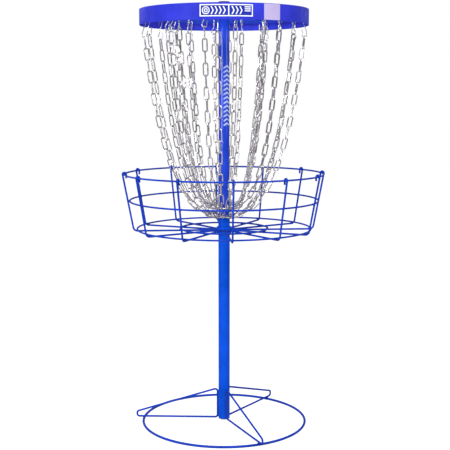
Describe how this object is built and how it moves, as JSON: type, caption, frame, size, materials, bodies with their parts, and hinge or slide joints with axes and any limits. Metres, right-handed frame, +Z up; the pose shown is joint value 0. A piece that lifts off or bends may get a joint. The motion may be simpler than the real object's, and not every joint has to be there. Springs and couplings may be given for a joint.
{
  "type": "disc golf basket",
  "caption": "Free-standing disc golf basket: pole on a ringed base, wire catch basket, two tiers of hanging chains and a sheet-metal band.",
  "frame": {"origin": "on the ground, under the centre of the pole", "axes": "+Z up along the pole, -Y towards the side with the sign plate, +X to the right seen from that side"},
  "size_m": [0.6662, 0.6662, 1.388],
  "materials": {
    "blue_paint": "gloss powder coat",
    "zinc": "bright zinc plate",
    "dark_plastic": "matte",
    "white_vinyl": "satin",
    "lavender_vinyl": "satin"
  },
  "bodies": {
    "stand": {"base_ring": "blue_paint", "base_leg_01": "blue_paint", "base_leg_02": "blue_paint", "base_leg_03": "blue_paint", "pole_lower": "blue_paint", "pole_upper": "blue_paint", "pole_stop_pin": "zinc", "pole_foot_plug": "dark_plastic", "pole_top_cap": "dark_plastic", "basket_hub": "blue_paint", "hub_screw_01": "zinc", "hub_screw_02": "zinc", "basket_rib_01": "blue_paint", "basket_rib_02": "blue_paint", "basket_rib_03": "blue_paint", "basket_rib_04": "blue_paint", "basket_rib_05": "blue_paint", "basket_rib_06": "blue_paint", "basket_rib_07": "blue_paint", "basket_rib_08": "blue_paint", "basket_rib_09": "blue_paint", "basket_rib_10": "blue_paint", "basket_rib_11": "blue_paint", "basket_rib_12": "blue_paint", "rim_ring": "blue_paint", "mid_ring": "blue_paint", "floor_ring_outer": "blue_paint", "floor_ring_inner": "blue_paint", "band": "blue_paint", "sign_plate": "white_vinyl", "accent_decal": "lavender_vinyl", "chain_support": "blue_paint", "support_ring_outer": "blue_paint", "support_ring_inner": "blue_paint"},
    "chain_ring_lower": {"chain_ring_lower": "zinc"},
    "chain_outer_01": {"chain_outer_01": "zinc"},
    "chain_outer_02": {"chain_outer_02": "zinc"},
    "chain_outer_03": {"chain_outer_03": "zinc"},
    "chain_outer_04": {"chain_outer_04": "zinc"},
    "chain_outer_05": {"chain_outer_05": "zinc"},
    "chain_outer_06": {"chain_outer_06": "zinc"},
    "chain_outer_07": {"chain_outer_07": "zinc"},
    "chain_outer_08": {"chain_outer_08": "zinc"},
    "chain_outer_09": {"chain_outer_09": "zinc"},
    "chain_outer_10": {"chain_outer_10": "zinc"},
    "chain_outer_11": {"chain_outer_11": "zinc"},
    "chain_outer_12": {"chain_outer_12": "zinc"},
    "chain_ring_upper": {"chain_ring_upper": "zinc"},
    "chain_inner_01": {"chain_inner_01": "zinc"},
    "chain_inner_02": {"chain_inner_02": "zinc"},
    "chain_inner_03": {"chain_inner_03": "zinc"},
    "chain_inner_04": {"chain_inner_04": "zinc"},
    "chain_inner_05": {"chain_inner_05": "zinc"},
    "chain_inner_06": {"chain_inner_06": "zinc"},
    "chain_inner_07": {"chain_inner_07": "zinc"},
    "chain_inner_08": {"chain_inner_08": "zinc"},
    "chain_inner_09": {"chain_inner_09": "zinc"},
    "chain_inner_10": {"chain_inner_10": "zinc"},
    "chain_inner_11": {"chain_inner_11": "zinc"},
    "chain_inner_12": {"chain_inner_12": "zinc"}
  },
  "joints": [
    {"name": "chain_ring_lower_lift", "type": "slide", "parent": "stand", "child": "chain_ring_lower", "axis": [0, 0, 1], "range_m": [0, 0.006]},
    {"name": "chain_outer_01_sway", "type": "hinge", "parent": "stand", "child": "chain_outer_01", "pos_m": [0.23189, 0.1131, 1.338], "axis": [0.304, 0.1483, 0.941], "range_deg": [-22, 22]},
    {"name": "chain_outer_02_sway", "type": "hinge", "parent": "stand", "child": "chain_outer_02", "pos_m": [0.14427, 0.21389, 1.338], "axis": [0.1892, 0.2804, 0.941], "range_deg": [-22, 22]},
    {"name": "chain_outer_03_sway", "type": "hinge", "parent": "stand", "child": "chain_outer_03", "pos_m": [0.018, 0.25737, 1.338], "axis": [0.0236, 0.3375, 0.941], "range_deg": [-22, 22]},
    {"name": "chain_outer_04_sway", "type": "hinge", "parent": "stand", "child": "chain_outer_04", "pos_m": [-0.1131, 0.23189, 1.338], "axis": [-0.1483, 0.304, 0.941], "range_deg": [-22, 22]},
    {"name": "chain_outer_05_sway", "type": "hinge", "parent": "stand", "child": "chain_outer_05", "pos_m": [-0.21389, 0.14427, 1.338], "axis": [-0.2804, 0.1892, 0.941], "range_deg": [-22, 22]},
    {"name": "chain_outer_06_sway", "type": "hinge", "parent": "stand", "child": "chain_outer_06", "pos_m": [-0.25737, 0.018, 1.338], "axis": [-0.3375, 0.0236, 0.941], "range_deg": [-22, 22]},
    {"name": "chain_outer_07_sway", "type": "hinge", "parent": "stand", "child": "chain_outer_07", "pos_m": [-0.23189, -0.1131, 1.338], "axis": [-0.304, -0.1483, 0.941], "range_deg": [-22, 22]},
    {"name": "chain_outer_08_sway", "type": "hinge", "parent": "stand", "child": "chain_outer_08", "pos_m": [-0.14427, -0.21389, 1.338], "axis": [-0.1892, -0.2804, 0.941], "range_deg": [-22, 22]},
    {"name": "chain_outer_09_sway", "type": "hinge", "parent": "stand", "child": "chain_outer_09", "pos_m": [-0.018, -0.25737, 1.338], "axis": [-0.0236, -0.3375, 0.941], "range_deg": [-22, 22]},
    {"name": "chain_outer_10_sway", "type": "hinge", "parent": "stand", "child": "chain_outer_10", "pos_m": [0.1131, -0.23189, 1.338], "axis": [0.1483, -0.304, 0.941], "range_deg": [-22, 22]},
    {"name": "chain_outer_11_sway", "type": "hinge", "parent": "stand", "child": "chain_outer_11", "pos_m": [0.21389, -0.14427, 1.338], "axis": [0.2804, -0.1892, 0.941], "range_deg": [-22, 22]},
    {"name": "chain_outer_12_sway", "type": "hinge", "parent": "stand", "child": "chain_outer_12", "pos_m": [0.25737, -0.018, 1.338], "axis": [0.3375, -0.0236, 0.941], "range_deg": [-22, 22]},
    {"name": "chain_ring_upper_lift", "type": "slide", "parent": "stand", "child": "chain_ring_upper", "axis": [0, 0, 1], "range_m": [0, 0.006]},
    {"name": "chain_inner_01_sway", "type": "hinge", "parent": "stand", "child": "chain_inner_01", "pos_m": [0.18062, 0.03511, 1.338], "axis": [0.2435, 0.0473, 0.9687], "range_deg": [-22, 22]},
    {"name": "chain_inner_02_sway", "type": "hinge", "parent": "stand", "child": "chain_inner_02", "pos_m": [0.13887, 0.12072, 1.338], "axis": [0.1872, 0.1628, 0.9687], "range_deg": [-22, 22]},
    {"name": "chain_inner_03_sway", "type": "hinge", "parent": "stand", "child": "chain_inner_03", "pos_m": [0.0599, 0.17397, 1.338], "axis": [0.0808, 0.2346, 0.9687], "range_deg": [-22, 22]},
    {"name": "chain_inner_04_sway", "type": "hinge", "parent": "stand", "child": "chain_inner_04", "pos_m": [-0.03511, 0.18062, 1.338], "axis": [-0.0473, 0.2435, 0.9687], "range_deg": [-22, 22]},
    {"name": "chain_inner_05_sway", "type": "hinge", "parent": "stand", "child": "chain_inner_05", "pos_m": [-0.12072, 0.13887, 1.338], "axis": [-0.1628, 0.1872, 0.9687], "range_deg": [-22, 22]},
    {"name": "chain_inner_06_sway", "type": "hinge", "parent": "stand", "child": "chain_inner_06", "pos_m": [-0.17397, 0.0599, 1.338], "axis": [-0.2346, 0.0808, 0.9687], "range_deg": [-22, 22]},
    {"name": "chain_inner_07_sway", "type": "hinge", "parent": "stand", "child": "chain_inner_07", "pos_m": [-0.18062, -0.03511, 1.338], "axis": [-0.2435, -0.0473, 0.9687], "range_deg": [-22, 22]},
    {"name": "chain_inner_08_sway", "type": "hinge", "parent": "stand", "child": "chain_inner_08", "pos_m": [-0.13887, -0.12072, 1.338], "axis": [-0.1872, -0.1628, 0.9687], "range_deg": [-22, 22]},
    {"name": "chain_inner_09_sway", "type": "hinge", "parent": "stand", "child": "chain_inner_09", "pos_m": [-0.0599, -0.17397, 1.338], "axis": [-0.0808, -0.2346, 0.9687], "range_deg": [-22, 22]},
    {"name": "chain_inner_10_sway", "type": "hinge", "parent": "stand", "child": "chain_inner_10", "pos_m": [0.03511, -0.18062, 1.338], "axis": [0.0473, -0.2435, 0.9687], "range_deg": [-22, 22]},
    {"name": "chain_inner_11_sway", "type": "hinge", "parent": "stand", "child": "chain_inner_11", "pos_m": [0.12072, -0.13887, 1.338], "axis": [0.1628, -0.1872, 0.9687], "range_deg": [-22, 22]},
    {"name": "chain_inner_12_sway", "type": "hinge", "parent": "stand", "child": "chain_inner_12", "pos_m": [0.17397, -0.0599, 1.338], "axis": [0.2346, -0.0808, 0.9687], "range_deg": [-22, 22]}
  ]
}
